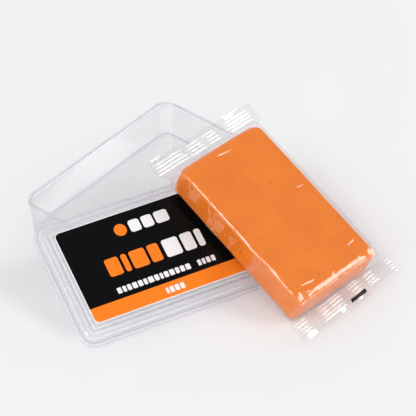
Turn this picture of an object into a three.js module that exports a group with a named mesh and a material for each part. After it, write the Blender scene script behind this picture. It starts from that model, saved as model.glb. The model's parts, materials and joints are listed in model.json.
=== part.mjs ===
// Detailing clay kit: a clear plastic box whose lid leans on its base, and a bar of clay
// in a sealed film wrapper that leans on the lid. Millimetres, +Z up. The origin is the
// centre of the underside of the base tray, and the tray's long side runs along X.

import * as THREE from 'three';

// ---------------------------------------------------------------- driving dimensions

const BOX_LENGTH = 98;            // outside of the tray's rim, and of the lid's flange
const BOX_WIDTH = 60.5;
const BOX_CORNER_RADIUS = 7;
const TRAY_HEIGHT = 18.5;
const TRAY_FLOOR = 1.6;
const RIM_THICKNESS = 1.5;
const RIM_BAND_HEIGHT = 2.6;      // the rim stands proud of the wall below it
const RIM_BAND_STEP = 0.5;
const WALL_DRAFT = 1.2;           // how far each wall leans in from the rim to the floor

const LID_HEIGHT = 6.3;           // flange's lower edge to the top of the label panel
const LID_WALL = 1.3;
const LID_PANEL_INSET = 6.3;      // flange's outer edge to the raised panel's edge
const LID_SHOULDER_DEPTH = 1.8;   // panel top down to the shoulder
const LID_SKIRT_INSET = 1.8;
const LID_FLANGE_THICKNESS = 1.2;
const LID_LIP_DEPTH = 0.7;        // locating lip that drops inside the tray's rim

const LABEL_MARGIN = 1.2;         // label's edge to the raised panel's edge
const LABEL_THICKNESS = 0.2;
const CONTACT_GAP = 0.3;          // air kept between two pieces that touch

const CLAY_LENGTH = 81;
const CLAY_WIDTH = 47.8;
const CLAY_THICKNESS = 14.4;
const CLAY_CORNER_RADIUS = 4.5;
const CLAY_EDGE_RADIUS = 1.6;

const FILM_THICKNESS = 0.3;
const UPPER_FILM_TAPER = 3.4;     // from the clay's end to the start of the seal
const LOWER_FILM_TAPER = 2.2;
const SEAL_LENGTH = 8.2;
const SEAL_THICKNESS = 0.6;
const SEAL_TOOTH_PITCH = 2;
const SEAL_TOOTH_DEPTH = 1;
const UPPER_SEAL_OFFSET = 1.6;    // how far each seal sits to one side of the bar
const LOWER_SEAL_OFFSET = 0.55;
const BACK_SEAM_WIDTH = 10;

// Where the lid and the wrapped bar lie. The lid's place is the centre of its panel top,
// and the bar's is the centre of the clay's top face.
const LID_PLACE = new THREE.Vector3(-34.5, -39.2, 17.99);
const LID_TURN = THREE.MathUtils.degToRad(-22.5);
const LID_TILT = THREE.MathUtils.degToRad(23.6);
const BAR_PLACE = new THREE.Vector3(7.04, -71.15, 29.85);
const BAR_TURN = THREE.MathUtils.degToRad(-96);
const BAR_TILT = THREE.MathUtils.degToRad(22.87);

const CORNER_STEPS = 6;

// ---------------------------------------------------------------- materials

const clearStyrene = new THREE.MeshStandardMaterial({
  color: 0xe6e6ec, roughness: 0.08, metalness: 0, transparent: true, opacity: 0.3,
});
const printedLabel = new THREE.MeshStandardMaterial({ color: 0x16161a, roughness: 0.35, metalness: 0 });
const orangeClay = new THREE.MeshStandardMaterial({ color: 0xee7a22, roughness: 0.6, metalness: 0 });
const clearFilm = new THREE.MeshStandardMaterial({
  color: 0xf2f2f4, roughness: 0.15, metalness: 0, transparent: true, opacity: 0.3,
});

// ---------------------------------------------------------------- geometry helpers

// The points of a rounded rectangle, anticlockwise, as 2-D vectors about its centre.
function roundedRectangle(length, width, radius) {
  const corners = [
    { x: 1, y: 1, start: 0 },
    { x: -1, y: 1, start: Math.PI / 2 },
    { x: -1, y: -1, start: Math.PI },
    { x: 1, y: -1, start: 1.5 * Math.PI },
  ];
  const points = [];
  for (const corner of corners) {
    const centreX = corner.x * (length / 2 - radius);
    const centreY = corner.y * (width / 2 - radius);
    const end = corner.start + Math.PI / 2;
    const arc = new THREE.EllipseCurve(centreX, centreY, radius, radius, corner.start, end);
    points.push(...arc.getPoints(CORNER_STEPS));
  }
  return points;
}

// A closed solid through a list of rings that all have the same number of points. The two
// end rings are capped, or joined to each other when the rings form a loop.
function skinRings(rings, isLoop = false) {
  const count = rings[0].length;
  const positions = rings.flat().flatMap((point) => point.toArray());
  const indices = [];
  const bands = isLoop ? rings.length : rings.length - 1;
  for (let band = 0; band < bands; band += 1) {
    const lower = band * count;
    const upper = ((band + 1) % rings.length) * count;
    for (let i = 0; i < count; i += 1) {
      const next = (i + 1) % count;
      indices.push(lower + i, lower + next, upper + next);
      indices.push(lower + i, upper + next, upper + i);
    }
  }
  if (!isLoop) {
    capRing(rings[0], 0, positions, indices, true);
    capRing(rings.at(-1), (rings.length - 1) * count, positions, indices, false);
  }
  const geometry = new THREE.BufferGeometry();
  geometry.setAttribute('position', new THREE.Float32BufferAttribute(positions, 3));
  geometry.setIndex(indices);
  geometry.computeVertexNormals();
  return geometry;
}

// A fan of triangles from a ring's centre closes that end of the solid.
function capRing(ring, firstIndex, positions, indices, facesBack) {
  const centre = new THREE.Vector3();
  ring.forEach((point) => centre.addScaledVector(point, 1 / ring.length));
  const centreIndex = positions.length / 3;
  positions.push(...centre.toArray());
  for (let i = 0; i < ring.length; i += 1) {
    const a = firstIndex + i;
    const b = firstIndex + ((i + 1) % ring.length);
    indices.push(centreIndex, facesBack ? b : a, facesBack ? a : b);
  }
}

// A shell or block whose every level is the box outline, moved in by an inset at a height.
function insetShell(length, width, cornerRadius, profile) {
  const smallestRadius = 0.8;
  const rings = profile.map(([inset, height]) => {
    const radius = Math.max(cornerRadius - inset, smallestRadius);
    const outline = roundedRectangle(length - 2 * inset, width - 2 * inset, radius);
    return outline.map((point) => new THREE.Vector3(point.x, point.y, height));
  });
  return skinRings(rings);
}

function namedMesh(name, geometry, material) {
  const mesh = new THREE.Mesh(geometry, material);
  mesh.name = name;
  return mesh;
}

// ---------------------------------------------------------------- the clear box

// The base: a rectangular tray with drafted walls and a thicker band round its rim.
function makeBaseTray() {
  const bandBottom = TRAY_HEIGHT - RIM_BAND_HEIGHT;
  const round = 0.4;
  const outerFoot = RIM_BAND_STEP + WALL_DRAFT;
  const innerFoot = RIM_THICKNESS + WALL_DRAFT;
  const footRound = 1.2;
  const profile = [
    [outerFoot + footRound, 0],
    [outerFoot + 0.35 * footRound, 0.35 * footRound],
    [outerFoot, footRound],
    [RIM_BAND_STEP, bandBottom],
    [0, bandBottom + 0.3],
    [0, TRAY_HEIGHT - round],
    [round, TRAY_HEIGHT],
    [RIM_THICKNESS - round, TRAY_HEIGHT],
    [RIM_THICKNESS, TRAY_HEIGHT - round],
    [innerFoot, TRAY_FLOOR + footRound],
    [innerFoot + 0.35 * footRound, TRAY_FLOOR + 0.35 * footRound],
    [innerFoot + footRound, TRAY_FLOOR],
  ];
  const geometry = insetShell(BOX_LENGTH, BOX_WIDTH, BOX_CORNER_RADIUS, profile);
  return namedMesh('base_tray', geometry, clearStyrene);
}

// The lid: a raised label panel, a shoulder one step down, a skirt, and a flange that
// sits on the tray's rim with a short locating lip inside it. Height 0 is the panel top.
function makeLid() {
  const shoulderTop = -LID_SHOULDER_DEPTH;
  const flangeTop = LID_FLANGE_THICKNESS - LID_HEIGHT;
  const lipInset = RIM_THICKNESS + 0.3;
  const lipInner = LID_SKIRT_INSET + LID_WALL;
  const lipBottom = -LID_HEIGHT - LID_LIP_DEPTH;
  const profile = [
    [LID_PANEL_INSET + LID_WALL, -LID_WALL],
    [LID_PANEL_INSET + 0.4, -LID_WALL - 0.4],
    [LID_PANEL_INSET, shoulderTop - LID_WALL],
    [lipInner + 0.6, shoulderTop - LID_WALL - 0.2],
    [lipInner + 0.2, shoulderTop - LID_WALL - 0.8],
    [lipInner, lipBottom],
    [lipInset, lipBottom],
    [lipInset, -LID_HEIGHT],
    [0, -LID_HEIGHT],
    [0, flangeTop - 0.2],
    [0.2, flangeTop],
    [LID_SKIRT_INSET - 0.2, flangeTop],
    [LID_SKIRT_INSET + 0.2, shoulderTop - 0.9],
    [LID_SKIRT_INSET + 0.9, shoulderTop],
    [LID_PANEL_INSET - 0.9, shoulderTop + 0.1],
    [LID_PANEL_INSET - 0.6, -0.6],
    [LID_PANEL_INSET - 0.3, -0.15],
    [LID_PANEL_INSET, 0],
  ];
  const geometry = insetShell(BOX_LENGTH, BOX_WIDTH, BOX_CORNER_RADIUS, profile);
  return namedMesh('lid', geometry, clearStyrene);
}

// The printed sticker on the lid's raised panel.
function makeLidLabel() {
  const inset = LID_PANEL_INSET + LABEL_MARGIN;
  const profile = [
    [inset, CONTACT_GAP],
    [inset, CONTACT_GAP + LABEL_THICKNESS],
  ];
  const labelCornerRadius = inset + 2.5;
  const geometry = insetShell(BOX_LENGTH, BOX_WIDTH, labelCornerRadius, profile);
  return namedMesh('lid_label', geometry, printedLabel);
}

// ---------------------------------------------------------------- the wrapped bar

// The clay: a pressed block with soft edges. Height 0 is its top face.
function makeClayBar() {
  const edge = CLAY_EDGE_RADIUS;
  const bottom = -CLAY_THICKNESS;
  const profile = [
    [edge, bottom],
    [0.3 * edge, bottom + 0.3 * edge],
    [0, bottom + edge],
    [0, -edge],
    [0.3 * edge, -0.3 * edge],
    [edge, 0],
  ];
  const geometry = insetShell(CLAY_LENGTH, CLAY_WIDTH, CLAY_CORNER_RADIUS, profile);
  return namedMesh('clay_bar', geometry, orangeClay);
}

// One cross-section of the film tube, square to the bar's length.
function filmSection(along, sideways, width, height, radius) {
  const outline = roundedRectangle(width, height, radius);
  return outline.map((point) => new THREE.Vector3(
    along, point.x + sideways, point.y - CLAY_THICKNESS / 2));
}

// The film tube: it fits the clay closely and flattens to a slit towards each seal.
function makeFilmSleeve() {
  const fullAt = CLAY_LENGTH / 2 + 0.5;
  const upperSlitAt = -CLAY_LENGTH / 2 - UPPER_FILM_TAPER;
  const lowerSlitAt = CLAY_LENGTH / 2 + LOWER_FILM_TAPER;
  const slitWidth = sealWidth();
  const slitHeight = 1.2;
  const sections = [
    { along: upperSlitAt, sideways: UPPER_SEAL_OFFSET, isFull: false },
    { along: -fullAt, sideways: 0, isFull: true },
    { along: fullAt, sideways: 0, isFull: true },
    { along: lowerSlitAt, sideways: LOWER_SEAL_OFFSET, isFull: false },
  ];
  const ring = ({ along, sideways, isFull }, grow) => {
    const width = isFull ? CLAY_WIDTH : slitWidth - 2 * CONTACT_GAP;
    const height = isFull ? CLAY_THICKNESS : slitHeight - 2 * CONTACT_GAP - 2 * FILM_THICKNESS + 0.2;
    const radius = isFull ? CLAY_EDGE_RADIUS : 0.08;
    return filmSection(along, sideways, width + 2 * grow, height + 2 * grow, radius + grow);
  };
  const inner = sections.map((section) => ring(section, CONTACT_GAP));
  const outer = sections.map((section) => ring(section, CONTACT_GAP + FILM_THICKNESS));
  return namedMesh('film_sleeve', skinRings([...outer, ...inner.reverse()], true), clearFilm);
}

// Half of the tube's girth: a flattened tube is this wide.
function sealWidth() {
  return CLAY_WIDTH + CLAY_THICKNESS + 0.3;
}

// A crimped end seal: a flat strip across the flattened tube, its cut edge in teeth.
function makeEndSeal(name, side, taper, sideways) {
  const start = CLAY_LENGTH / 2 + taper + CONTACT_GAP;
  const teeth = Math.round(sealWidth() / SEAL_TOOTH_PITCH);
  const pitch = sealWidth() / teeth;
  const shape = new THREE.Shape();
  shape.moveTo(0, -sealWidth() / 2);
  shape.lineTo(SEAL_LENGTH, -sealWidth() / 2);
  for (let tooth = 0; tooth < teeth; tooth += 1) {
    const toothStart = tooth * pitch - sealWidth() / 2;
    shape.lineTo(SEAL_LENGTH + SEAL_TOOTH_DEPTH, toothStart + pitch / 2);
    shape.lineTo(SEAL_LENGTH, toothStart + pitch);
  }
  shape.lineTo(0, sealWidth() / 2);
  shape.closePath();
  const geometry = new THREE.ExtrudeGeometry(shape, { depth: SEAL_THICKNESS, bevelEnabled: false });
  const mesh = namedMesh(name, geometry, clearFilm);
  mesh.position.set(side * start, sideways, -(CLAY_THICKNESS + side * SEAL_THICKNESS) / 2);
  mesh.rotation.y = side > 0 ? 0 : Math.PI;
  return mesh;
}

// The lengthwise fin seal, folded flat against the underside of the tube.
function makeBackSeam() {
  const length = CLAY_LENGTH - 2;
  const top = -CLAY_THICKNESS - 2 * CONTACT_GAP - FILM_THICKNESS;
  const geometry = new THREE.BoxGeometry(length, BACK_SEAM_WIDTH, FILM_THICKNESS);
  const mesh = namedMesh('film_back_seam', geometry, clearFilm);
  mesh.position.z = top - FILM_THICKNESS / 2;
  return mesh;
}

// ---------------------------------------------------------------- assembly

// The lid leans with one long edge on the ground and its panel on the tray's corner.
const lidGroup = new THREE.Group();
lidGroup.add(makeLid(), makeLidLabel());
lidGroup.position.copy(LID_PLACE);
lidGroup.rotation.set(LID_TILT, 0, LID_TURN, 'ZYX');

// The bar leans with one end on the ground and its underside on the lid's back edge.
const wrappedBarGroup = new THREE.Group();
wrappedBarGroup.add(
  makeClayBar(),
  makeFilmSleeve(),
  makeEndSeal('film_end_seal_upper', -1, UPPER_FILM_TAPER, UPPER_SEAL_OFFSET),
  makeEndSeal('film_end_seal_lower', 1, LOWER_FILM_TAPER, LOWER_SEAL_OFFSET),
  makeBackSeam(),
);
wrappedBarGroup.position.copy(BAR_PLACE);
wrappedBarGroup.rotation.set(0, BAR_TILT, BAR_TURN, 'ZYX');

const kit = new THREE.Group();
kit.add(makeBaseTray(), lidGroup, wrappedBarGroup);

export default kit;
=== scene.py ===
"""Looks for the clay bar kit: a clear box, its labelled lid and a film-wrapped bar of clay.

Lengths in the modelling functions are millimetres in each piece's own frame, as in the CAD
model. MM turns them into Blender's metres when the mesh is made.
"""

import json
import math

import bpy
from mathutils import Euler, Matrix, Vector, noise

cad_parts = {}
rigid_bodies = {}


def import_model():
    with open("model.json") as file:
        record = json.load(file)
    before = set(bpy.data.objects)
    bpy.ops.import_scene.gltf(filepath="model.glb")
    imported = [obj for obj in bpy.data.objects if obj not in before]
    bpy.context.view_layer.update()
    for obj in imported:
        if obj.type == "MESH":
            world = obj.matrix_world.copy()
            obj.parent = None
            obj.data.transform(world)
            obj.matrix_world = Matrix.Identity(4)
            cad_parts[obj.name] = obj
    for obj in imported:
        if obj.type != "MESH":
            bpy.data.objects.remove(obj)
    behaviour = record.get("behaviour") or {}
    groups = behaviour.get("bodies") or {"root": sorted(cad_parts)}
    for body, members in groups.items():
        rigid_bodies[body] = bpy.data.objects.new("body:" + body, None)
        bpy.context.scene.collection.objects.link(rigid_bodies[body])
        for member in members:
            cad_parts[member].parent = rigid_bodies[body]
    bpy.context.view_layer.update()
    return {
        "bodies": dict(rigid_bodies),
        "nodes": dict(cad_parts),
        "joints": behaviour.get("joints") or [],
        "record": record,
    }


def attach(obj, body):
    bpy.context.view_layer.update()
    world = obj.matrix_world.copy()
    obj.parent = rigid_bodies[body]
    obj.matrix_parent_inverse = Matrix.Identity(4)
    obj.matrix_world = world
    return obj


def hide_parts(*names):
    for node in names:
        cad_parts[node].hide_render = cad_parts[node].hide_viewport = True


MM = 0.001

# ------------------------------------------------------------------ sizes, in millimetres

BOX_LENGTH = 98.0
BOX_WIDTH = 60.5
BOX_CORNER = 7.0
TRAY_HEIGHT = 18.5
TRAY_FLOOR = 1.6
RIM_THICKNESS = 1.5
RIM_BAND_HEIGHT = 2.6
RIM_BAND_STEP = 0.5
WALL_DRAFT = 1.2

# The flat faces of the tray and the lid are filled from this inset inwards.
TRAY_FLAT_INSET = 12.0
LID_FLAT_INSET = 14.0
LEAST_BOX_CORNER = 0.9

LID_HEIGHT = 6.3
LID_WALL = 1.3
LID_PANEL_INSET = 6.3
LID_SHOULDER = 1.8
LID_SKIRT_INSET = 1.8
LID_FLANGE = 1.2
LID_LIP = 0.7
LID_LIP_GAP = 0.3

LABEL_MARGIN = 1.2
LABEL_CORNER = 2.5
LABEL_LIFT = 0.12
LABEL_THICKNESS = 0.12
LABEL_BORDER = 0.35
LABEL_BAND = 7.2
LABEL_CORNER_STEPS = 8
FIELD_LIFT = 0.01
MARKS_LIFT = 0.02

# The width of the lines that the edges of clear plastic show, and the slots they take:
# the plain wall, the edges with painted shade and the edges with a painted highlight.
EDGE_LINE = 0.75
WALL, PAINTED_SHADE_EDGE, PAINTED_HIGHLIGHT_EDGE = 0, 1, 2
FILLET_STEPS = 8
# A fillet takes at most this share of the shorter side that meets it.
FILLET_REACH = 0.48

CLAY_LENGTH = 81.0
CLAY_WIDTH = 47.8
CLAY_THICKNESS = 14.4
CLAY_UPPER_CORNER = 4.0
CLAY_LOWER_CORNER = 2.4
CLAY_EDGE = 1.4
CLAY_FOOT_EDGE = 1.0
LEAST_CLAY_CORNER = 0.6
# The clay is drawn in by this much, so that its uneven sides stay inside the film.
CLAY_SHRINK = 0.1
CLAY_UNEVENNESS = 0.14
CLAY_DENTS = 0.06
CLAY_TOP_WAVES = 0.16
CLAY_TOP_DEPTH = 1.0

FILM_GAP = 0.25
FLAT_FILM_HALF_GAP = 0.1
FLOOR_CLEARANCE = 0.05
UPPER_FILM_TAPER = 3.4
LOWER_FILM_TAPER = 2.2
# How the film rolls down before the clay's end, then falls to the seal. Corners roll further.
FILM_END_ROUND = 4.4
FILM_END_DROP = 1.05
FILM_ROLL_STOP = 0.7
FILM_FALL_START = 0.5
FILM_FALL_CURVE = 1.25
FILM_CORNER_REACH = 2.8
FILM_CORNER_FADE = 2.6
RIGHT_CORNER_STRENGTH = 0.45
CORNER_EXTRA_ROUND = 2.6
CORNER_EXTRA_DROP = 0.85
# How it stands loose along the bar's right side, and sags under the lower end.
FILM_SLACK = 1.4
FILM_SLACK_REACH = 2.5
FILM_SAG = 0.8
FILM_SAG_START = 14.0
FILM_SAG_RUN = 10.0

SEAL_LENGTH = 8.2
SEAL_WIDTH = 62.5
SEAL_RIDGE_PITCH = 1.65
SEAL_RIDGE_HEIGHT = 0.13
SEAL_CUT_MARGIN = 1.3
SEAL_RIDGED_LENGTH = 6.65
SEAL_RIDGE_FADE = 0.5
SEAL_CURL = 0.10
SEAL_CURL_START = 4.0
SEAL_TOOTH_PITCH = 2.0
SEAL_TOOTH_DEPTH = 0.9
UPPER_SEAL_OFFSET = 1.6
LOWER_SEAL_OFFSET = 0.55
LOWER_CUT_SKEW = -0.045
SEAM_WIDTH = 10.0

INK_WIDTH = 9.6
INK_LENGTH = 1.65
INK_CENTRE = 6.3
INK_FROM_CUT = 2.1
INK_RAGGEDNESS = 0.35
INK_LIFT = 0.06

# Where the lid and the bar lie, as in the CAD model.
LID_PLACE = Vector((-34.5, -39.2, 17.99))
LID_TURN, LID_TILT = math.radians(-22.5), math.radians(23.6)
BAR_PLACE = Vector((7.04, -71.15, 29.85))
BAR_TURN, BAR_TILT = math.radians(-96.0), math.radians(22.87)

# The camera looks at this point on the ground. Its lens is in millimetres too.
CAMERA_TARGET = Vector((16.4, -23.6, 0.0))
CAMERA_AZIMUTH = math.radians(-50.45)
CAMERA_ELEVATION = math.radians(40.1)
CAMERA_DISTANCE = 917.0
CAMERA_LENS = 173.1
CAMERA_SENSOR = 36.0

# ------------------------------------------------------------------ colours

STYRENE_TINT = (0.98, 0.98, 0.99)
# The white scattered by dust on the clear plastic, also used as painted sheen on the lid.
DUST_AND_PAINTED_SHEEN = (0.93, 0.93, 0.95)
CLAY_DARK = (0.88, 0.205, 0.007)
CLAY_LIGHT = (0.97, 0.252, 0.011)
CLAY_SPECK = (0.35, 0.08, 0.01)
FILM_TINT = (0.985, 0.985, 0.985)
FILM_MILK = (0.95, 0.95, 0.96)
PRINT_WHITE = (0.86, 0.86, 0.86)
PRINT_BLACK = (0.003, 0.003, 0.0035)
PRINT_ORANGE = (0.93, 0.22, 0.018)
PACKING_INK = (0.015, 0.015, 0.018)
FLOOR_DARK = (0.865, 0.866, 0.87)
FLOOR_LIGHT = (0.88, 0.881, 0.886)
ROOM_LIGHT = (0.985, 0.985, 1.0)


# ------------------------------------------------------------------ placing

def place_matrix(place, turn, tilt_x=0.0, tilt_y=0.0):
    """The matrix of a group that is tilted, then turned about Z, then moved."""
    rotation = Matrix.Rotation(turn, 4, "Z")
    tilt = Euler((tilt_x, tilt_y, 0.0)).to_matrix().to_4x4()
    return Matrix.Translation(place * MM) @ rotation @ tilt


TRAY_FRAME = Matrix.Identity(4)
LID_FRAME = place_matrix(LID_PLACE, LID_TURN, tilt_x=LID_TILT)
BAR_FRAME = place_matrix(BAR_PLACE, BAR_TURN, tilt_y=BAR_TILT)


# ------------------------------------------------------------------ mesh helpers

def new_piece(name, points, faces, frame, materials, face_slots=None, sharp_deg=35.0):
    """A smooth-shaded mesh object from points in millimetres in its own frame."""
    mesh = bpy.data.meshes.new(name)
    mesh.from_pydata([Vector(p) * MM for p in points], [], faces)
    mesh.update()
    for material in materials:
        mesh.materials.append(material)
    if face_slots:
        mesh.polygons.foreach_set("material_index", face_slots)
    mesh.shade_smooth()
    mesh.set_sharp_from_angle(angle=math.radians(sharp_deg))
    piece = bpy.data.objects.new(name, mesh)
    bpy.context.scene.collection.objects.link(piece)
    piece.matrix_world = frame
    return piece


def flatten_shading(piece):
    """Keeps wide flat faces flat beside their small fillets."""
    modifier = piece.modifiers.new("flat faces", "WEIGHTED_NORMAL")
    modifier.keep_sharp = True
    modifier.weight = 100


def rounded_rectangle(length, width, radius, steps, back_radius=None):
    """Points round a rounded rectangle, anticlockwise, about its centre.

    The corners towards -x take back_radius where there is one.
    """
    points = []
    for corner in range(4):
        start = corner * math.pi / 2
        side_x = 1 if corner in (0, 3) else -1
        side_y = 1 if corner in (0, 1) else -1
        round_by = radius if side_x > 0 or back_radius is None else back_radius
        centre_x = side_x * (length / 2 - round_by)
        centre_y = side_y * (width / 2 - round_by)
        for step in range(steps + 1):
            angle = start + step / steps * math.pi / 2
            x = centre_x + round_by * math.cos(angle)
            y = centre_y + round_by * math.sin(angle)
            points.append((x, y))
    return points


def filleted(path):
    """A path of (x, y, radius) corners with each corner rounded by an arc."""
    return [point for point, _ in marked_fillets(path)]


def marked_fillets(path):
    """The points of a filleted path, each with the material slot of the strip it starts.

    A corner's own slot is its fourth value, and covers the middle of its arc.
    """
    result = [(Vector(path[0][:2]), WALL)]
    for before, corner, after in zip(path, path[1:], path[2:]):
        here = Vector(corner[:2])
        back = Vector(before[:2]) - here
        ahead = Vector(after[:2]) - here
        angle = back.angle(ahead)
        most_reach = FILLET_REACH * min(back.length, ahead.length)
        reach = min(corner[2] / math.tan(angle / 2), most_reach)
        radius = reach * math.tan(angle / 2)
        bisector = (back.normalized() + ahead.normalized()).normalized()
        centre = here + bisector * (radius / math.sin(angle / 2))
        start = here + back.normalized() * reach - centre
        end = here + ahead.normalized() * reach - centre
        sweep = start.angle_signed(end)
        line_share = min(1.0, EDGE_LINE / max(radius * abs(sweep), 0.01))
        for step in range(FILLET_STEPS + 1):
            turned = start.copy()
            turned.rotate(Matrix.Rotation(-sweep * step / FILLET_STEPS, 2))
            middle = (step + 0.5) / FILLET_STEPS
            on_line = step < FILLET_STEPS and abs(middle - 0.5) <= line_share / 2
            result.append((centre + turned, corner[3] if on_line and len(corner) > 3 else WALL))
    result.append((Vector(path[-1][:2]), WALL))
    return result


def ring_faces(ring_count, ring_size, is_loop=False):
    """Quads that join each ring of points to the next."""
    faces = []
    for ring in range(ring_count if is_loop else ring_count - 1):
        low, high = ring * ring_size, (ring + 1) % ring_count * ring_size
        for i in range(ring_size):
            j = (i + 1) % ring_size
            faces.append((low + i, low + j, high + j, high + i))
    return faces


def inset_shell(name, path, frame, materials):
    """A shell whose every level is the box outline, moved in by an inset at a height.

    The materials are those of the walls, of the edge lines with painted shade and of those with a
    painted highlight.
    """
    profile = marked_fillets(path)
    corner_steps = 14
    size = 4 * (corner_steps + 1)
    points, slots = [], []
    for (inset, height), slot in profile:
        radius = max(BOX_CORNER - inset, LEAST_BOX_CORNER)
        length, width = BOX_LENGTH - 2 * inset, BOX_WIDTH - 2 * inset
        outline = rounded_rectangle(length, width, radius, corner_steps)
        points += [(x, y, height) for x, y in outline]
        slots += [slot] * size
    faces = ring_faces(len(profile), size)
    last = (len(profile) - 1) * size
    faces.append(tuple(reversed(range(size))))
    faces.append(tuple(range(last, last + size)))
    slots = slots[:last] + [WALL, WALL]
    piece = new_piece(name, points, faces, frame, materials, slots)
    flatten_shading(piece)
    return piece


# ------------------------------------------------------------------ material helpers

def new_material(name):
    """An empty node material, its nodes, links and output."""
    material = bpy.data.materials.new(name)
    material.use_nodes = True
    nodes = material.node_tree.nodes
    nodes.clear()
    output = nodes.new("ShaderNodeOutputMaterial")
    return material, nodes, material.node_tree.links, output


def add_noise(nodes, links, scale, detail=4.0, roughness=0.5, stretch=(1, 1, 1)):
    """A noise texture in the piece's own coordinates, stretched along its axes."""
    coordinates = nodes.new("ShaderNodeTexCoord")
    mapping = nodes.new("ShaderNodeMapping")
    mapping.inputs["Scale"].default_value = stretch
    links.new(coordinates.outputs["Object"], mapping.inputs["Vector"])
    texture = nodes.new("ShaderNodeTexNoise")
    texture.inputs["Scale"].default_value = scale
    texture.inputs["Detail"].default_value = detail
    texture.inputs["Roughness"].default_value = roughness
    links.new(mapping.outputs["Vector"], texture.inputs["Vector"])
    return texture.outputs["Fac"]


def remap(nodes, links, value, from_range, to_range):
    """A clamped linear remapping of a value from one range to another."""
    node = nodes.new("ShaderNodeMapRange")
    node.inputs["From Min"].default_value = from_range[0]
    node.inputs["From Max"].default_value = from_range[1]
    node.inputs["To Min"].default_value = to_range[0]
    node.inputs["To Max"].default_value = to_range[1]
    links.new(value, node.inputs["Value"])
    return node.outputs["Result"]


def add_bump(nodes, links, height, strength, distance_mm, normal=None):
    """A bump of a height, on top of an earlier normal if there is one."""
    bump = nodes.new("ShaderNodeBump")
    bump.inputs["Strength"].default_value = strength
    bump.inputs["Distance"].default_value = distance_mm * MM
    links.new(height, bump.inputs["Height"])
    if normal is not None:
        links.new(normal, bump.inputs["Normal"])
    return bump.outputs["Normal"]


def mix_colours(nodes, links, factor, colour_a, colour_b):
    """A colour between two fixed colours."""
    mix = nodes.new("ShaderNodeMix")
    mix.data_type = "RGBA"
    links.new(factor, mix.inputs["Factor"])
    mix.inputs["A"].default_value = (*colour_a, 1)
    mix.inputs["B"].default_value = (*colour_b, 1)
    return mix.outputs["Result"]


def raise_to(nodes, links, value, exponent):
    """A value raised to a power."""
    power = nodes.new("ShaderNodeMath")
    power.operation = "POWER"
    power.inputs[1].default_value = exponent
    links.new(value, power.inputs[0])
    return power.outputs["Value"]


def glancing_share(nodes, links, normal, least):
    """How much a clear surface mirrors: least seen straight on, all of it at a glance."""
    facing = nodes.new("ShaderNodeLayerWeight")
    facing.inputs["Blend"].default_value = 0.5
    links.new(normal, facing.inputs["Normal"])
    grazing = raise_to(nodes, links, facing.outputs["Facing"], 4.5)
    return remap(nodes, links, grazing, (0, 1), (least, 1))


# ------------------------------------------------------------------ materials

def clear_styrene(name, seen_through, bending_share, mirror_least, dust_and_painted_sheen):
    """Clear moulded polystyrene with hairline scratches.

    Part of the light passes straight, tinted by seen_through, and bending_share of it bends
    as in solid glass. The dark edge materials take a darker seen_through, painted shade for the
    light that is trapped along the wall; the bright edge material takes a high mirror_least and
    a strong white scatter, a painted highlight. dust_and_painted_sheen is the share scattered
    white: small shares are dust and fine scratches, and the large shares on the lid and the
    bright edges are painted sheen that brightens them.
    """
    material, nodes, links, output = new_material(name)
    flow = add_noise(nodes, links, scale=30, detail=1)
    normal = add_bump(nodes, links, flow, strength=0.02, distance_mm=0.1)
    scratches = add_noise(nodes, links, scale=160, detail=6, stretch=(1, 14, 1))
    roughness = remap(nodes, links, scratches, (0.5, 0.75), (0.03, 0.06))

    bending = nodes.new("ShaderNodeBsdfPrincipled")
    bending.inputs["Base Color"].default_value = (*STYRENE_TINT, 1)
    bending.inputs["Transmission Weight"].default_value = 1.0
    bending.inputs["IOR"].default_value = 1.4
    links.new(roughness, bending.inputs["Roughness"])
    links.new(normal, bending.inputs["Normal"])

    passing = nodes.new("ShaderNodeBsdfTransparent")
    passing.inputs["Color"].default_value = (*seen_through, 1)
    mirror = nodes.new("ShaderNodeBsdfGlossy")
    links.new(roughness, mirror.inputs["Roughness"])
    links.new(normal, mirror.inputs["Normal"])
    straight = nodes.new("ShaderNodeMixShader")
    links.new(glancing_share(nodes, links, normal, mirror_least), straight.inputs["Fac"])
    links.new(passing.outputs["BSDF"], straight.inputs[1])
    links.new(mirror.outputs["BSDF"], straight.inputs[2])

    both = nodes.new("ShaderNodeMixShader")
    both.inputs["Fac"].default_value = bending_share
    links.new(straight.outputs["Shader"], both.inputs[1])
    links.new(bending.outputs["BSDF"], both.inputs[2])

    # White scatter: dust and fine scratches, and painted sheen where its share is large.
    cloud = nodes.new("ShaderNodeBsdfDiffuse")
    cloud.inputs["Color"].default_value = (*DUST_AND_PAINTED_SHEEN, 1)
    clouded = nodes.new("ShaderNodeMixShader")
    dust_and_sheen_share = remap(nodes, links, scratches, (0.4, 0.7), (0.7 * dust_and_painted_sheen, 1.3 * dust_and_painted_sheen))
    links.new(dust_and_sheen_share, clouded.inputs["Fac"])
    links.new(both.outputs["Shader"], clouded.inputs[1])
    links.new(cloud.outputs["BSDF"], clouded.inputs[2])
    light_path = nodes.new("ShaderNodeLightPath")
    surface = clouded.outputs["Shader"]
    for ray in ("Is Diffuse Ray", "Is Shadow Ray"):
        mix = nodes.new("ShaderNodeMixShader")
        links.new(light_path.outputs[ray], mix.inputs["Fac"])
        links.new(surface, mix.inputs[1])
        links.new(passing.outputs["BSDF"], mix.inputs[2])
        surface = mix.outputs["Shader"]
    links.new(surface, output.inputs["Surface"])
    return material


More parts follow.
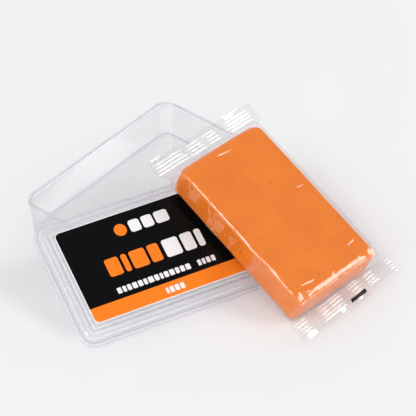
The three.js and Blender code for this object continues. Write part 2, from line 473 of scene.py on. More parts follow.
def printed(name, colour, speckle):
    """Printed and varnished film: a fixed ink colour with a fine dot and gloss variation."""
    material, nodes, links, output = new_material(name)
    shader = nodes.new("ShaderNodeBsdfPrincipled")
    shader.inputs["Specular IOR Level"].default_value = 0.12
    dots = add_noise(nodes, links, scale=2600, detail=2)
    dark = tuple(c * (1 - speckle) for c in colour)
    light = tuple(min(c * (1 + speckle), 1) for c in colour)
    tone = remap(nodes, links, dots, (0.35, 0.65), (0, 1))
    links.new(mix_colours(nodes, links, tone, dark, light), shader.inputs["Base Color"])
    haze = add_noise(nodes, links, scale=90, detail=3)
    links.new(remap(nodes, links, haze, (0.3, 0.7), (0.16, 0.26)), shader.inputs["Roughness"])
    links.new(add_bump(nodes, links, haze, strength=0.05, distance_mm=0.1), shader.inputs["Normal"])
    links.new(shader.outputs["BSDF"], output.inputs["Surface"])
    return material


def orange_clay():
    """Dense satin clay: slightly mottled, with fine dark specks and a soft pressed skin."""
    material, nodes, links, output = new_material("orange_clay")
    shader = nodes.new("ShaderNodeBsdfPrincipled")
    shader.inputs["Subsurface Weight"].default_value = 0.12
    shader.inputs["Subsurface Radius"].default_value = (0.002, 0.0008, 0.0003)
    shader.inputs["Specular IOR Level"].default_value = 0.25
    mottle = add_noise(nodes, links, scale=55, detail=5)
    tone = remap(nodes, links, mottle, (0.3, 0.7), (0, 1))
    base = mix_colours(nodes, links, tone, CLAY_DARK, CLAY_LIGHT)
    specks = add_noise(nodes, links, scale=650, detail=1)
    speck = remap(nodes, links, specks, (0.72, 0.76), (0, 0.7))
    darken = nodes.new("ShaderNodeMix")
    darken.data_type = "RGBA"
    links.new(speck, darken.inputs["Factor"])
    links.new(base, darken.inputs["A"])
    darken.inputs["B"].default_value = (*CLAY_SPECK, 1)
    links.new(darken.outputs["Result"], shader.inputs["Base Color"])
    grain = add_noise(nodes, links, scale=420, detail=6, roughness=0.6)
    links.new(remap(nodes, links, grain, (0.3, 0.7), (0.42, 0.6)), shader.inputs["Roughness"])
    streaks = add_noise(nodes, links, scale=110, detail=4, stretch=(1, 5, 1))
    normal = add_bump(nodes, links, mottle, strength=0.4, distance_mm=0.45)
    normal = add_bump(nodes, links, streaks, strength=0.4, distance_mm=0.2, normal=normal)
    normal = add_bump(nodes, links, grain, strength=0.10, distance_mm=0.05, normal=normal)
    links.new(normal, shader.inputs["Normal"])
    links.new(shader.outputs["BSDF"], output.inputs["Surface"])
    return material


def clear_film(name, mirror_least, haze_middle, haze_end, haze_scale):
    """Thin clear wrapper film: it mirrors at a glance and hazes towards the gathered ends."""
    material, nodes, links, output = new_material(name)
    crinkle = add_noise(nodes, links, scale=110, detail=3, roughness=0.5)
    normal = add_bump(nodes, links, crinkle, strength=0.12, distance_mm=0.2)

    passing = nodes.new("ShaderNodeBsdfTransparent")
    passing.inputs["Color"].default_value = (*FILM_TINT, 1)
    mirror = nodes.new("ShaderNodeBsdfGlossy")
    mirror.inputs["Roughness"].default_value = 0.06
    links.new(normal, mirror.inputs["Normal"])
    glass = nodes.new("ShaderNodeMixShader")
    links.new(glancing_share(nodes, links, normal, mirror_least), glass.inputs["Fac"])
    links.new(passing.outputs["BSDF"], glass.inputs[1])
    links.new(mirror.outputs["BSDF"], glass.inputs[2])

    milk = nodes.new("ShaderNodeBsdfPrincipled")
    milk.inputs["Base Color"].default_value = (*FILM_MILK, 1)
    milk.inputs["Roughness"].default_value = 0.35
    links.new(normal, milk.inputs["Normal"])
    coordinates = nodes.new("ShaderNodeTexCoord")
    split = nodes.new("ShaderNodeSeparateXYZ")
    links.new(coordinates.outputs["Object"], split.inputs["Vector"])
    from_middle = nodes.new("ShaderNodeMath")
    from_middle.operation = "ABSOLUTE"
    links.new(split.outputs["X"], from_middle.inputs[0])
    end = CLAY_LENGTH / 2 * MM
    most = remap(nodes, links, from_middle.outputs["Value"], (end - 2 * MM, end),
                 (haze_middle, haze_end))
    cloud = add_noise(nodes, links, haze_scale, detail=5, roughness=0.65)
    share = remap(nodes, links, cloud, (0.35, 0.7), (0.3, 1.0))
    haze = nodes.new("ShaderNodeMath")
    haze.operation = "MULTIPLY"
    links.new(most, haze.inputs[0])
    links.new(share, haze.inputs[1])
    mix = nodes.new("ShaderNodeMixShader")
    links.new(haze.outputs["Value"], mix.inputs["Fac"])
    links.new(glass.outputs["Shader"], mix.inputs[1])
    links.new(milk.outputs["BSDF"], mix.inputs[2])
    links.new(mix.outputs["Shader"], output.inputs["Surface"])
    return material


def pale_floor():
    """A plain matt studio floor."""
    material, nodes, links, output = new_material("pale_floor")
    shader = nodes.new("ShaderNodeBsdfPrincipled")
    shader.inputs["Roughness"].default_value = 0.9
    shader.inputs["Specular IOR Level"].default_value = 0.1
    paper = add_noise(nodes, links, scale=14, detail=3)
    tone = remap(nodes, links, paper, (0.3, 0.7), (0, 1))
    colour = mix_colours(nodes, links, tone, FLOOR_DARK, FLOOR_LIGHT)
    links.new(colour, shader.inputs["Base Color"])
    links.new(shader.outputs["BSDF"], output.inputs["Surface"])
    return material


# ------------------------------------------------------------------ the clear box

def make_tray(plastics):
    """The base tray: drafted walls, a thicker band round the rim, rounded foot.

    Each corner of the path is an inset, a height, a fillet radius and its edge's slot.
    """
    band_bottom = TRAY_HEIGHT - RIM_BAND_HEIGHT
    band_slope_top = band_bottom + RIM_BAND_STEP
    outer_foot = RIM_BAND_STEP + WALL_DRAFT
    inner_foot = RIM_THICKNESS + WALL_DRAFT
    foot_round = 1.6
    rim_round = 0.5
    path = [
        (TRAY_FLAT_INSET, 0.0, 0),
        (outer_foot, 0.0, foot_round, PAINTED_SHADE_EDGE),
        (RIM_BAND_STEP, band_bottom, rim_round, PAINTED_SHADE_EDGE),
        (0.0, band_slope_top, 0.4, PAINTED_HIGHLIGHT_EDGE),
        (0.0, TRAY_HEIGHT, rim_round, PAINTED_SHADE_EDGE),
        (RIM_THICKNESS, TRAY_HEIGHT, rim_round, PAINTED_SHADE_EDGE),
        (inner_foot, TRAY_FLOOR, foot_round, PAINTED_SHADE_EDGE),
        (TRAY_FLAT_INSET, TRAY_FLOOR, 0),
    ]
    return inset_shell("clear_tray", path, TRAY_FRAME, plastics)


def make_lid(plastics):
    """The lid: raised panel, step, shoulder, skirt, flange and locating lip.

    Each corner of the path is an inset, a height, a fillet radius and its edge's slot.
    """
    shoulder = -LID_SHOULDER
    under_shoulder = shoulder - LID_WALL
    flange_top = LID_FLANGE - LID_HEIGHT
    lip_inset = RIM_THICKNESS + LID_LIP_GAP
    lip_inner = LID_SKIRT_INSET + LID_WALL
    lip_bottom = -LID_HEIGHT - LID_LIP
    skirt_foot = LID_SKIRT_INSET - 0.3
    skirt_top = LID_SKIRT_INSET + 0.2
    step_foot = LID_PANEL_INSET - 0.7
    step_top = LID_PANEL_INSET - 0.4
    inner_step_foot = LID_PANEL_INSET + 0.5
    inner_step_top = LID_PANEL_INSET + 0.9
    inner_shoulder = lip_inner + 0.3
    fine_round = 0.4
    edge_round = 0.5
    step_round = 0.6
    path = [
        (LID_FLAT_INSET, -LID_WALL, 0),
        (inner_step_top, -LID_WALL, step_round, PAINTED_SHADE_EDGE),
        (inner_step_foot, under_shoulder, step_round),
        (inner_shoulder, under_shoulder, 1.0, PAINTED_SHADE_EDGE),
        (lip_inner, lip_bottom, fine_round, PAINTED_SHADE_EDGE),
        (lip_inset, lip_bottom, fine_round, PAINTED_HIGHLIGHT_EDGE),
        (lip_inset, -LID_HEIGHT, 0.1, PAINTED_SHADE_EDGE),
        (0.0, -LID_HEIGHT, fine_round, PAINTED_SHADE_EDGE),
        (0.0, flange_top, edge_round, PAINTED_HIGHLIGHT_EDGE),
        (skirt_foot, flange_top, fine_round, PAINTED_SHADE_EDGE),
        (skirt_top, shoulder, 1.2, PAINTED_HIGHLIGHT_EDGE),
        (step_foot, shoulder, edge_round, PAINTED_SHADE_EDGE),
        (step_top, 0.0, step_round, PAINTED_HIGHLIGHT_EDGE),
        (LID_FLAT_INSET, 0.0, 0),
    ]
    return inset_shell("clear_lid", path, LID_FRAME, plastics)


# ------------------------------------------------------------------ the label

def label_size():
    """The length and width of the sticker, which leaves a margin on the lid's panel."""
    inset = LID_PANEL_INSET + LABEL_MARGIN
    return BOX_LENGTH - 2 * inset, BOX_WIDTH - 2 * inset


def clipped_outline(outline, low, high):
    """The part of a convex outline whose y lies between low and high."""
    def clip(points, limit, sign):
        """The part above the limit, or below it where the sign is -1."""
        kept = []
        for a, b in zip(points, points[1:] + points[:1]):
            inside_a, inside_b = sign * (a[1] - limit) >= 0, sign * (b[1] - limit) >= 0
            if inside_a:
                kept.append(a)
            if inside_a != inside_b:
                share = (limit - a[1]) / (b[1] - a[1])
                kept.append((a[0] + share * (b[0] - a[0]), limit))
        return kept
    return clip(clip(outline, low, 1), high, -1)


def make_label(white, black, orange):
    """The sticker: white stock with a black field and an orange band along one side."""
    length, width = label_size()
    stock = rounded_rectangle(length, width, LABEL_CORNER, LABEL_CORNER_STEPS)
    field = rounded_rectangle(length - 2 * LABEL_BORDER, width - 2 * LABEL_BORDER,
                              LABEL_CORNER - LABEL_BORDER, LABEL_CORNER_STEPS)
    top = LABEL_LIFT + LABEL_THICKNESS
    split = -width / 2 + LABEL_BAND
    points, faces, slots = [], [], []

    def add_printed_face(outline, slot):
        """A flat face just over the sticker's top."""
        first = len(points)
        points.extend((x, y, top + FIELD_LIFT) for x, y in outline)
        faces.append(tuple(range(first, len(points))))
        slots.append(slot)

    count = len(stock)
    points += [(x, y, LABEL_LIFT) for x, y in stock] + [(x, y, top) for x, y in stock]
    faces += ring_faces(2, count) + [tuple(reversed(range(count))), tuple(range(count, 2 * count))]
    slots += [0] * (count + 2)
    add_printed_face(clipped_outline(field, split, width), 1)
    add_printed_face(clipped_outline(field, -width, split), 2)
    return new_piece("printed_label", points, faces, LID_FRAME, [white, black, orange], slots)


def block(left, bottom, length, height, radius):
    """The outline of a printed block with rounded corners."""
    most_radius = 0.49 * min(length, height)
    outline = rounded_rectangle(length, height, min(radius, most_radius), 5)
    return [(x + left + length / 2, y + bottom + height / 2) for x, y in outline]


def block_row(left, line, lengths):
    """Blocks side by side on a line, which is its bottom, its height, their gap and radius."""
    bottom, height, gap, radius = line
    outlines = []
    for length in lengths:
        outlines.append(block(left, bottom, length, height, radius))
        left += length + gap
    return outlines


def make_label_marks(white, orange):
    """Plain printed blocks in place of words: a heading, a wide title, a fine line and a tag."""
    heading_line = (11.8, 5.8, 1.0, 1.2)
    title_line = (-4.9, 8.6, 1.3, 1.1)
    fine_line = (-13.2, 2.8, 0.6, 0.45)
    tag_line = (-20.6, 2.9, 0.6, 0.5)
    dot_bottom, dot_size = heading_line[:2]
    fine_lengths = (2.0, 1.6, 1.8, 2.2, 2.0, 1.6, 2.4, 2.0, 1.4, 2.0, 2.2, 1.8, 2.0, 2.2)
    orange_marks = block_row(-26.2, title_line, (6.4, 2.6, 7.4, 5.2))
    orange_marks.append(block(-15.8, dot_bottom, dot_size, dot_size, dot_size / 2))
    white_marks = block_row(-8.6, heading_line, (5.2, 5.2, 6.4))
    white_marks += block_row(1.2, title_line, (7.6, 5.6, 3.0))
    white_marks += block_row(-26.4, fine_line, fine_lengths)
    white_marks += block_row(12.3, fine_line, (1.6, 1.4, 1.8, 1.8))
    white_marks += block_row(-6.4, tag_line, (1.2, 1.9, 1.9, 1.9))
    height = LABEL_LIFT + LABEL_THICKNESS + MARKS_LIFT
    points, faces, slots = [], [], []
    for outlines, slot in ((orange_marks, 1), (white_marks, 0)):
        for outline in outlines:
            first = len(points)
            points += [(x, y, height) for x, y in outline]
            faces.append(tuple(range(first, len(points))))
            slots.append(slot)
    return new_piece("label_marks", points, faces, LID_FRAME, [white, orange], slots)


# ------------------------------------------------------------------ the clay

def smooth_noise(point, scale, seed):
    """A repeatable noise value from -1 to 1 at a point in millimetres."""
    return noise.noise(Vector(point) / scale + Vector((seed, 2 * seed, 3 * seed)))


def make_clay(clay):
    """The pressed block: soft edges, slightly uneven faces, no two corners quite alike."""
    face_insets = [2.0, 4.0, 7.0, 11.0, 16.0, 22.0]
    middle_inset = face_insets[-1]
    profile = filleted([
        (middle_inset, -CLAY_THICKNESS, 0),
        (0.0, -CLAY_THICKNESS, CLAY_FOOT_EDGE),
        (0.0, 0.0, CLAY_EDGE),
        (middle_inset, 0.0, 0),
    ])
    bottom = [Vector((inset, -CLAY_THICKNESS)) for inset in reversed(face_insets)]
    top = [Vector((inset, 0.0)) for inset in face_insets]
    levels = bottom + profile[1:-1] + top
    points = []
    corner_steps, edge_steps = 8, 24
    for inset, height in levels:
        outline = rounded_rectangle(CLAY_LENGTH - 2 * inset, CLAY_WIDTH - 2 * inset,
                                    max(CLAY_LOWER_CORNER - inset, LEAST_CLAY_CORNER), corner_steps,
                                    max(CLAY_UPPER_CORNER - inset, LEAST_CLAY_CORNER))
        outline = subdivide_edges(outline, corner_steps + 1, edge_steps)
        on_top = height > -CLAY_TOP_DEPTH
        for x, y in outline:
            unevenness = CLAY_UNEVENNESS * smooth_noise((x, y, height), 13, 3.1)
            dent = CLAY_DENTS * smooth_noise((x, y, height), 4.5, 8.4)
            shrink = 1 - (CLAY_SHRINK + unevenness + dent) / (CLAY_WIDTH / 2)
            wave = CLAY_TOP_WAVES * smooth_noise((x, y, 0), 17, 5.7)
            lift = wave - CLAY_SHRINK if on_top else 0.0
            roll = max(abs(x) - CLAY_LENGTH / 2 + end_round(y), 0) / end_round(y)
            lift -= end_drop(y) * roll * roll * (1 + height / CLAY_THICKNESS) ** 2
            points.append((x * shrink, y * shrink, height + lift))
    size = len(points) // len(levels)
    faces = ring_faces(len(levels), size)
    faces.append(tuple(reversed(range(size))))
    faces.append(tuple(range(len(points) - size, len(points))))
    return new_piece("clay_block", points, faces, BAR_FRAME, [clay], sharp_deg=80)


def subdivide_edges(outline, corner_points, edge_steps):
    """Adds evenly spaced points along the straight stretch after each corner."""
    result = []
    for index, point in enumerate(outline):
        result.append(point)
        if index % corner_points == corner_points - 1:
            after = outline[(index + 1) % len(outline)]
            for step in range(1, edge_steps):
                share = step / edge_steps
                result.append((point[0] + share * (after[0] - point[0]),
                               point[1] + share * (after[1] - point[1])))
    return result


# ------------------------------------------------------------------ the film

# Folds in the film over the bar's top face: start x, y, end x, y, height and half-width.
# The negative one draws the film down along the bar's left edge.
TOP_FOLDS = (
    (-36.7, -8.0, -35.4, 4.5, 0.32, 0.5),
    (-18.1, -3.5, -12.5, 5.0, 0.18, 0.45),
    (-13.5, 3.5, -8.6, 11.5, 0.22, 0.45),
    (-5.9, 12.5, -3.7, 21.0, 0.27, 0.5),
    (-3.6, -18.5, -8.1, -2.5, 0.16, 0.5),
    (14.5, -12.0, 17.0, -4.0, 0.12, 0.5),
    (-38.5, -23.65, 33.0, -23.65, -0.32, 0.6),
    (14.5, -22.9, 36.4, -21.0, 0.40, 0.6),
    (24.0, -15.5, 34.0, -18.0, 0.15, 0.6),
    (32.5, -19.0, 34.0, -9.0, 0.30, 0.7),
    (30.0, 13.5, 28.5, 21.5, 0.36, 0.6),
    (33.5, 4.5, 36.5, -2.0, 0.32, 0.6),
    (28.0, 17.6, 36.0, 21.5, 0.35, 0.5),
    (33.0, 9.5, 36.5, 15.5, 0.24, 0.5),
    (35.0, -21.0, 37.5, -15.0, 0.42, 0.8),
    (-39.1, -16.5, -31.1, -22.0, 0.22, 0.5),
)


def ease(value):
    """A smooth step from 0 to 1."""
    value = min(max(value, 0.0), 1.0)
    return value * value * (3 - 2 * value)


def fold_height(x, y):
    """The height of all the folds over a place of the top face."""
    total = 0.0
    here = Vector((x, y))
    for start_x, start_y, end_x, end_y, height, half_width in TOP_FOLDS:
        start = Vector((start_x, start_y))
        run = Vector((end_x, end_y)) - start
        share = (here - start).dot(run) / run.length_squared
        share = min(max(share, 0.0), 1.0)
        away = (here - start - share * run).length / half_width
        if away < 3:
            total += height * math.exp(-away * away) * math.sin(math.pi * (0.1 + 0.8 * share))
    return total


def seal_offset(side):
    """How far a seal lies off the bar's middle line: side is -1 for the upper, 1 for the lower."""
    return UPPER_SEAL_OFFSET if side < 0 else LOWER_SEAL_OFFSET


def seal_height(across, side):
    """How far the flattened film waves out of the bar's middle plane, in millimetres."""
    depth, phase = (0.42, 0.4) if side < 0 else (0.5, 2.6)
    short_wave = depth * math.sin(across / 3.4 + phase)
    long_wave = 0.3 * math.sin(across / 7.9 + 2 * phase)
    return short_wave + long_wave


def corner_share(across):
    """1 by the bar's left edge, less by its right edge, falling to 0 towards its middle."""
    from_side = CLAY_WIDTH / 2 - abs(across)
    strength = 1.0 if across < 0 else RIGHT_CORNER_STRENGTH
    beyond_corner = max(from_side - FILM_CORNER_REACH, 0.0)
    return strength * math.exp(-(beyond_corner / FILM_CORNER_FADE) ** 2)


def end_round(across):
    """How far before the clay's end the film starts to roll down, in millimetres."""
    return FILM_END_ROUND + CORNER_EXTRA_ROUND * corner_share(across)


def end_drop(across):
    """How far the film has rolled down at the clay's end, in millimetres."""
    return FILM_END_DROP * (1 + CORNER_EXTRA_DROP * corner_share(across))


def film_taper(side):
    """How far beyond the clay's end the tube has closed, in millimetres."""
    return UPPER_FILM_TAPER if side < 0 else LOWER_FILM_TAPER


def film_collapse(beyond, across, height, taper):
    """How far the tube has closed, from 0 to 1, at a distance beyond the clay's end."""
    start = end_round(across)
    roll = min(max((beyond + start) / (start - FILM_ROLL_STOP), 0.0), 1.0)
    fall = min(max((beyond + FILM_FALL_START) / (taper + FILM_FALL_START), 0.0), 1.0)
    upper_share = ease(0.5 + height / CLAY_THICKNESS)
    rolled = upper_share * end_drop(across) / (CLAY_THICKNESS / 2) * roll * roll
    return rolled + (1 - rolled) * fall ** FILM_FALL_CURVE


def above_floor(along, height):
    """The height, or the lowest height at which the tilted film clears the floor."""
    fall = along * math.sin(BAR_TILT)
    lowest = (FLOOR_CLEARANCE - BAR_PLACE.z + fall) / math.cos(BAR_TILT)
    return max(height, lowest)


def film_point(along, turn_share):
    """A point of the film tube. turn_share runs from 0 to 1 round the bar's section."""
    half = CLAY_LENGTH / 2
    side = -1 if along < 0 else 1
    full_x, full_y = section_point(turn_share, CLAY_WIDTH / 2 + FILM_GAP,
                                   CLAY_THICKNESS / 2 + FILM_GAP)
    flat = film_collapse(abs(along) - half, full_x, full_y, film_taper(side))
    flat_x = flat_position(turn_share)
    flat_sign = 1 if turn_share < 0.5 else -1
    flat_y = seal_height(flat_x, side) + flat_sign * FLAT_FILM_HALF_GAP
    across = (1 - flat) * full_x + flat * (flat_x + seal_offset(side))
    height = (1 - flat) * full_y + flat * flat_y
    loose = ease((full_x - CLAY_WIDTH / 2 + FILM_SLACK_REACH) / FILM_SLACK_REACH) * (1 - flat)
    across += FILM_SLACK * loose * (0.75 + 0.35 * math.sin(along / 17 + 0.8))
    outward = Vector((full_x / CLAY_WIDTH, full_y / CLAY_THICKNESS)).normalized()
    ridge = crease(along, full_x, full_y, flat)
    if full_y > 0:
        height += (1 - flat) * fold_height(along, full_x)
    sag = FILM_SAG * ease((along - half + FILM_SAG_START) / FILM_SAG_RUN)
    sag *= ease(-full_y / CLAY_THICKNESS + 0.5) * (1 - flat)
    height += ridge * outward.y - CLAY_THICKNESS / 2 - sag
    return (along, across + ridge * outward.x, above_floor(along, height))


def sharp_ridge(point, scale, seed, narrowness):
    """Thin ridges, from 0 to 1, along the places where a noise crosses zero."""
    return max(1 - narrowness * abs(smooth_noise(point, scale, seed)), 0) ** 2


def crease(along, across, height, flat):
    """Crinkles in the film: faint over the faces, sharper on the sides and towards the ends."""
    from_end = CLAY_LENGTH / 2 - abs(along)
    from_side = CLAY_WIDTH / 2 - abs(across)
    near_end = ease((9 - from_end) / 11)
    on_side = ease((1.5 - from_side) / 1.5)
    drift = smooth_noise((along * 0.5, across, height), 11, 1.7)
    fine = smooth_noise((along * 0.6, across * 1.3, height * 0.8), 4.2, 4.9)
    fan = sharp_ridge((along * 0.35, across * 0.8, height), 5.2, 6.3, 3.0)
    upright = sharp_ridge((along, across * 0.3, height * 0.35 + along * 0.2), 6.5, 2.9, 5.0)
    at_corner = near_end * math.exp(-((from_side - 1.5) / 3.0) ** 2)
    rough = smooth_noise((along, across, height), 1.7, 3.3)
    gathered = (0.08 * near_end + 0.2 * at_corner) * fan + 0.16 * at_corner * rough
    crinkled = (0.03 + 0.04 * on_side + 0.03 * near_end) * fine
    plain_lift = 0.15 + 0.10 * drift
    return plain_lift + crinkled + 0.2 * on_side * upright + gathered * (1 - flat)


def section_point(turn_share, half_width, half_height):
    """A point of the bar's rounded section, starting at its right side's middle."""
    radius = CLAY_EDGE
    flat_w, flat_h = half_width - radius, half_height - radius
    arc = math.pi / 2 * radius
    legs = [flat_h, arc, 2 * flat_w, arc, 2 * flat_h, arc, 2 * flat_w, arc, flat_h]
    distance = turn_share * sum(legs)
    leg = 0
    while leg < len(legs) - 1 and distance > legs[leg]:
        distance -= legs[leg]
        leg += 1
    share = distance / legs[leg]
    if leg % 2:
        corner = (leg - 1) // 2
        angle = (corner + share) * math.pi / 2
        side_x = 1 if corner in (0, 3) else -1
        side_y = 1 if corner in (0, 1) else -1
        x = side_x * flat_w + radius * math.cos(angle)
        y = side_y * flat_h + radius * math.sin(angle)
        return (x, y)
    straight = {
        0: (half_width, share * flat_h),
        2: (flat_w - share * 2 * flat_w, half_height),
        4: (-half_width, flat_h - share * 2 * flat_h),
        6: (-flat_w + share * 2 * flat_w, -half_height),
        8: (half_width, -flat_h + share * flat_h),
    }
    return straight[leg]


def flat_position(turn_share):
    """Where a point of the section lies across the flattened tube."""
    return SEAL_WIDTH * (0.5 - 2 * turn_share if turn_share < 0.5 else 2 * turn_share - 1.5)


def make_film_tube(film):
    """The film tube from seal to seal, with its creases."""
    upper_end = -CLAY_LENGTH / 2 - UPPER_FILM_TAPER
    lower_end = CLAY_LENGTH / 2 + LOWER_FILM_TAPER
    steps_along, steps_round = 260, 320
    points = []
    for i in range(steps_along + 1):
        along = upper_end + (lower_end - upper_end) * i / steps_along
        for k in range(steps_round):
            points.append(film_point(along, k / steps_round))
    faces = ring_faces(steps_along + 1, steps_round)
    return new_piece("film_tube", points, faces, BAR_FRAME, [film], sharp_deg=180)


def seal_length(across, side):
    """How long a seal is at a place across it, up to its toothed cut."""
    phase = (across / SEAL_TOOTH_PITCH) % 1.0
    tooth = SEAL_TOOTH_DEPTH * (1 - abs(2 * phase - 1))
    skew = LOWER_CUT_SKEW * across if side > 0 else 0.0
    return SEAL_LENGTH + tooth + skew


def seal_point(beyond, across, side):
    """A point of a crimped seal, beyond millimetres past the tube's end."""
    start = CLAY_LENGTH / 2 + film_taper(side)
    skew = LOWER_CUT_SKEW * across if side > 0 else 0.0
    from_cut = SEAL_LENGTH + skew - beyond
    ridged = ease((from_cut - SEAL_CUT_MARGIN) / SEAL_RIDGE_FADE)
    ridged *= ease((SEAL_CUT_MARGIN + SEAL_RIDGED_LENGTH - from_cut) / SEAL_RIDGE_FADE)
    ridge = SEAL_RIDGE_HEIGHT * math.cos(2 * math.pi * from_cut / SEAL_RIDGE_PITCH) * ridged
    curl_share = 0.75 + 0.25 * math.sin(across / 6.0 + side)
    curl = -side * SEAL_CURL * max(beyond - SEAL_CURL_START, 0.0) ** 1.5 * curl_share
    buckle = 0.10 * smooth_noise((beyond, across * 0.7, side), 3.0, 2.2) * ease(beyond / 2)
    height = seal_height(across, side) + ridge + curl + buckle
    along = side * (start + beyond)
    return (along, across + seal_offset(side), above_floor(along, height - CLAY_THICKNESS / 2))


def make_seal(name, side, film):
    """A crimped end seal: ridges across the strip and a toothed cut edge."""
    steps_across, steps_along = 250, 80
    points = []
    for i in range(steps_across + 1):
        across = SEAL_WIDTH * (i / steps_across - 0.5)
        length = seal_length(across, side)
        for k in range(steps_along + 1):
            points.append(seal_point(length * k / steps_along, across, side))
    faces = grid_faces(steps_across + 1, steps_along + 1, side > 0)
    return new_piece(name, points, faces, BAR_FRAME, [film], sharp_deg=180)


def grid_faces(rows, columns, flip=False):
    """Quads of a grid of points stored row by row."""
    faces = []
    for row in range(rows - 1):
        for column in range(columns - 1):
            a = row * columns + column
            quad = (a, a + columns, a + columns + 1, a + 1)
            faces.append(tuple(reversed(quad)) if flip else quad)
    return faces


def make_back_seam(film):
    """The lengthwise fin seal, lying flat against the underside, with fine crimp lines."""
    length = CLAY_LENGTH - 2.0
    base = -CLAY_THICKNESS - 0.8
    steps_along, steps_across = 160, 24
    points = []
    for i in range(steps_along + 1):
        along = length * (i / steps_along - 0.5)
        for k in range(steps_across + 1):
            across = SEAM_WIDTH * (k / steps_across - 0.5)
            crimp = 0.1 * math.sin(across * 5.0)
            wave = 0.12 * smooth_noise((along, across, 0), 6, 4)
            points.append((along, across, base - crimp - wave))
    faces = grid_faces(steps_along + 1, steps_across + 1, True)
    return new_piece("film_fin_seam", points, faces, BAR_FRAME, [film], sharp_deg=180)


def make_date_mark(ink):
    """A plain dark printed bar by the lower seal's cut, where a packing code would be."""
    steps_across, steps_along = 60, 12
    points = []
    for i in range(steps_across + 1):
        across = INK_CENTRE + INK_WIDTH * (i / steps_across - 0.5)
        start = SEAL_LENGTH + LOWER_CUT_SKEW * across - INK_FROM_CUT
        length = INK_LENGTH + INK_RAGGEDNESS * smooth_noise((across * 2, 0, 0), 1.0, 5.1)
        for k in range(steps_along + 1):
            x, y, z = seal_point(start + length * k / steps_along, across, 1)
            points.append((x, y, z + INK_LIFT))
    faces = grid_faces(steps_across + 1, steps_along + 1, True)
    return new_piece("seal_ink_mark", points, faces, BAR_FRAME, [ink], sharp_deg=180)


# ------------------------------------------------------------------ studio

# Studio lengths are in metres, light powers in watts, and azimuths counted from the camera's.
FLOOR_HALF = 6.0
FLOOR_DROP = 0.0002
DIM_PATCH_AZIMUTH_DEG = 120
DIM_PATCH_ELEVATION_DEG = 63


def make_floor(material):
    """A wide floor, a hair below the ground that the object rests on."""
    half = FLOOR_HALF
    mesh = bpy.data.meshes.new("floor")
    corners = [(-half, -half, 0), (half, -half, 0), (half, half, 0), (-half, half, 0)]
    mesh.from_pydata(corners, [], [(0, 1, 2, 3)])
    mesh.materials.append(material)
    floor = bpy.data.objects.new("floor", mesh)
    floor.location.z = -FLOOR_DROP
    bpy.context.scene.collection.objects.link(floor)


def direction_from(azimuth, elevation):
    """The unit vector from the object towards a place round it."""
    return Vector((
        math.sin(azimuth) * math.cos(elevation),
        -math.cos(azimuth) * math.cos(elevation),
        math.sin(elevation),
    ))


def make_softbox(name, azimuth_deg, elevation_deg, distance, size, power):
    """A square soft light; its azimuth is counted from the camera's, to the right."""
    azimuth = CAMERA_AZIMUTH + math.radians(azimuth_deg)
    towards = direction_from(azimuth, math.radians(elevation_deg))
    data = bpy.data.lights.new(name, "AREA")
    data.shape = "SQUARE"
    data.size = size
    data.energy = power
    light = bpy.data.objects.new(name, data)
    light.location = CAMERA_TARGET * MM + towards * distance
    light.rotation_euler = towards.to_track_quat("Z", "Y").to_euler()
    bpy.context.scene.collection.objects.link(light)


def make_world(bright, dim):
    """A pale room all round, with one dim patch of ceiling up behind the box to the right."""
    world = bpy.data.worlds.new("studio")
    world.use_nodes = True
    nodes, links = world.node_tree.nodes, world.node_tree.links
    background = nodes["Background"]
    background.inputs["Color"].default_value = (*ROOM_LIGHT, 1)
    coordinates = nodes.new("ShaderNodeTexCoord")
    towards = nodes.new("ShaderNodeVectorMath")
    towards.operation = "DOT_PRODUCT"
    links.new(coordinates.outputs["Generated"], towards.inputs[0])
    patch_azimuth = CAMERA_AZIMUTH + math.radians(DIM_PATCH_AZIMUTH_DEG)
    patch_elevation = math.radians(DIM_PATCH_ELEVATION_DEG)
    towards.inputs[1].default_value = direction_from(patch_azimuth, patch_elevation)
    level = remap(nodes, links, towards.outputs["Value"], (0.5, 0.9), (bright, dim))
    links.new(level, background.inputs["Strength"])
    bpy.context.scene.world = world


def make_camera():
    """The scene's camera, which looks down at the box across its near corner."""
    data = bpy.data.cameras.new("camera")
    data.sensor_width = CAMERA_SENSOR
    data.lens = CAMERA_LENS
    data.clip_start, data.clip_end = 0.01, 20.0
    camera = bpy.data.objects.new("camera", data)
    towards = direction_from(CAMERA_AZIMUTH, CAMERA_ELEVATION)
    camera.location = (CAMERA_TARGET + towards * CAMERA_DISTANCE) * MM
    camera.rotation_euler = towards.to_track_quat("Z", "Y").to_euler()
    bpy.context.scene.collection.objects.link(camera)
    bpy.context.scene.camera = camera


def allow_deep_glass():
    """Lets light run far enough along the clear walls and through the film's many layers."""
    cycles = bpy.context.scene.cycles
    cycles.max_bounces = 20
    cycles.glossy_bounces = 16
    cycles.transmission_bounces = 20
    cycles.transparent_max_bounces = 32


def build_studio():
    """The camera, the floor, the lights and the plain colour handling."""
    make_camera()
    make_floor(pale_floor())
    make_world(bright=1.03, dim=0.34)
    make_softbox("key_right", azimuth_deg=82, elevation_deg=36, distance=3.2, size=1.2, power=31)
    make_softbox("fill_front_left", azimuth_deg=-40, elevation_deg=50, distance=3.2, size=1.0,
                 power=20)
    allow_deep_glass()
    view = bpy.context.scene.view_settings
    view.view_transform = "Standard"
    view.look = "None"


# ------------------------------------------------------------------ assembly

def add_piece(piece, body, slot, *nodes):
    """Joins a finished piece to its body and hides the CAD nodes it stands for. slot is not used.
    """
    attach(piece, body)
    if nodes:
        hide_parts(*nodes)


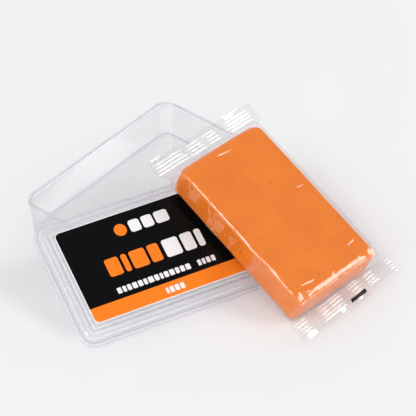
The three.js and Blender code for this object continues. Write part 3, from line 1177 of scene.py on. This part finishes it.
def build_box():
    """The tray, the lid and the lid's label, each with its materials."""
    wall = clear_styrene("clear_styrene", seen_through=(0.992, 0.991, 0.994),
                         bending_share=0.32, mirror_least=0.05, dust_and_painted_sheen=0.01)
    # A darker see-through tint on the fillets: painted shade lines for the light trapped along the
    # wall.
    painted_shade_edge = clear_styrene("styrene_painted_shade_edge", seen_through=(0.76, 0.75, 0.82),
                              bending_share=0.15, mirror_least=0.05, dust_and_painted_sheen=0.02)
    # A high mirror share and a strong white scatter: painted highlight lines on the convex edges.
    painted_highlight_edge = clear_styrene("styrene_painted_highlight_edge", seen_through=(0.97, 0.965, 0.98),
                                bending_share=0.1, mirror_least=0.3, dust_and_painted_sheen=0.2)
    # A strong white scatter on the lid: painted sheen that brightens it.
    lid_wall = clear_styrene("lid_styrene", seen_through=(0.992, 0.991, 0.993),
                             bending_share=0.13, mirror_least=0.08, dust_and_painted_sheen=0.21)
    # Darker still on the lid's fillets: painted shade lines.
    lid_painted_shade_edge = clear_styrene("lid_painted_shade_edge", seen_through=(0.72, 0.70, 0.76),
                                  bending_share=0.08, mirror_least=0.05, dust_and_painted_sheen=0.05)
    add_piece(make_tray([wall, painted_shade_edge, painted_highlight_edge]), "tray", "clear_styrene", "base_tray")
    add_piece(make_lid([lid_wall, lid_painted_shade_edge, painted_highlight_edge]), "lid", "clear_styrene", "lid")
    white = printed("print_white", PRINT_WHITE, speckle=0.03)
    black = printed("print_black", PRINT_BLACK, speckle=0.25)
    orange = printed("print_orange", PRINT_ORANGE, speckle=0.05)
    add_piece(make_label(white, black, orange), "lid", "printed_label", "lid_label")
    add_piece(make_label_marks(white, orange), "lid", "printed_label")


def build_bar():
    """The clay, its film, the three seals and the packing mark."""
    add_piece(make_clay(orange_clay()), "wrapped_bar", "orange_clay", "clay_bar")
    film = clear_film("clear_film", mirror_least=0.085, haze_middle=0.006, haze_end=0.16,
                      haze_scale=90)
    crimped = clear_film("crimped_film", mirror_least=0.12, haze_middle=0.11, haze_end=0.11,
                         haze_scale=240)
    add_piece(make_film_tube(film), "wrapped_bar", "clear_film", "film_sleeve")
    add_piece(make_seal("crimped_seal_upper", -1, crimped), "wrapped_bar", "clear_film",
              "film_end_seal_upper")
    add_piece(make_seal("crimped_seal_lower", 1, crimped), "wrapped_bar", "clear_film",
              "film_end_seal_lower")
    add_piece(make_back_seam(crimped), "wrapped_bar", "clear_film", "film_back_seam")
    ink = printed("packing_ink", PACKING_INK, speckle=0.3)
    add_piece(make_date_mark(ink), "wrapped_bar", "printed_label")


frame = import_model()
build_studio()
build_box()
build_bar()
